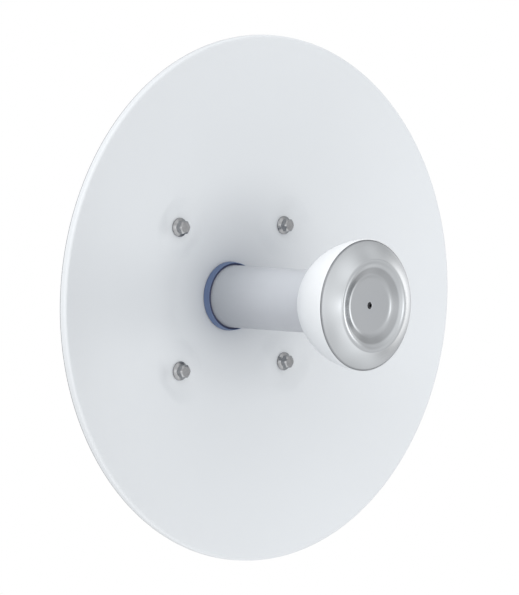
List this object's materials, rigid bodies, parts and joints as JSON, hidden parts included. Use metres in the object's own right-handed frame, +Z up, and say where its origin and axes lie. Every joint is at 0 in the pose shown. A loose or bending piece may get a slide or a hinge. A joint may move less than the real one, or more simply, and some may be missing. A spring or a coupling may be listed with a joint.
{
  "type": "dish antenna",
  "caption": "Round white dish antenna with a tubular feed, a bowl-backed sub-reflector in front and a tilting clamp bracket behind for a vertical mast.",
  "frame": {"origin": "centre of the flat back of the mast bracket's web, where the mast rests", "axes": "+Z up along the mast, +Y to the back out of the bracket's web, and the dish faces -Y"},
  "size_m": [0.4216, 0.3332, 0.4216],
  "materials": {
    "white_paint": "satin powder coat",
    "white_plastic": "satin",
    "radome_plastic": "satin",
    "blue_plastic": "satin",
    "satin_metal": "satin, turned",
    "dark_steel": "blackened",
    "front_fixings": "stainless",
    "rear_fixings": "zinc plated",
    "housing_plastic": "moulded, fine grain",
    "cover_plastic": "moulded, fine grain",
    "black_plastic": "moulded",
    "painted_steel": "powder coat"
  },
  "bodies": {
    "root": {"reflector": "white_paint", "bolt_top_left": "front_fixings", "bolt_top_right": "front_fixings", "bolt_bottom_left": "front_fixings", "bolt_bottom_right": "front_fixings", "nut_top_left": "rear_fixings", "nut_top_right": "rear_fixings", "nut_bottom_left": "rear_fixings", "nut_bottom_right": "rear_fixings", "feed_collar": "blue_plastic", "feed_tube": "white_plastic", "radome": "radome_plastic", "sub_reflector": "satin_metal", "centre_screw": "dark_steel", "hub_housing": "housing_plastic", "hub_cover": "cover_plastic", "cable_gland": "black_plastic", "gland_cap": "black_plastic", "mounting_frame": "painted_steel", "mast_bracket": "painted_steel", "clamp_jaw": "painted_steel", "clamp_bolt_top_left": "rear_fixings", "clamp_bolt_top_right": "rear_fixings", "clamp_bolt_bottom_left": "rear_fixings", "clamp_bolt_bottom_right": "rear_fixings", "clamp_nut_top_left": "rear_fixings", "clamp_nut_top_right": "rear_fixings", "clamp_nut_bottom_left": "rear_fixings", "clamp_nut_bottom_right": "rear_fixings", "pivot_bolt_left": "rear_fixings", "pivot_bolt_right": "rear_fixings", "pivot_nut_left": "rear_fixings", "pivot_nut_right": "rear_fixings", "lock_bolt_left": "rear_fixings", "lock_bolt_right": "rear_fixings", "lock_nut_left": "rear_fixings", "lock_nut_right": "rear_fixings"}
  },
  "joints": []
}
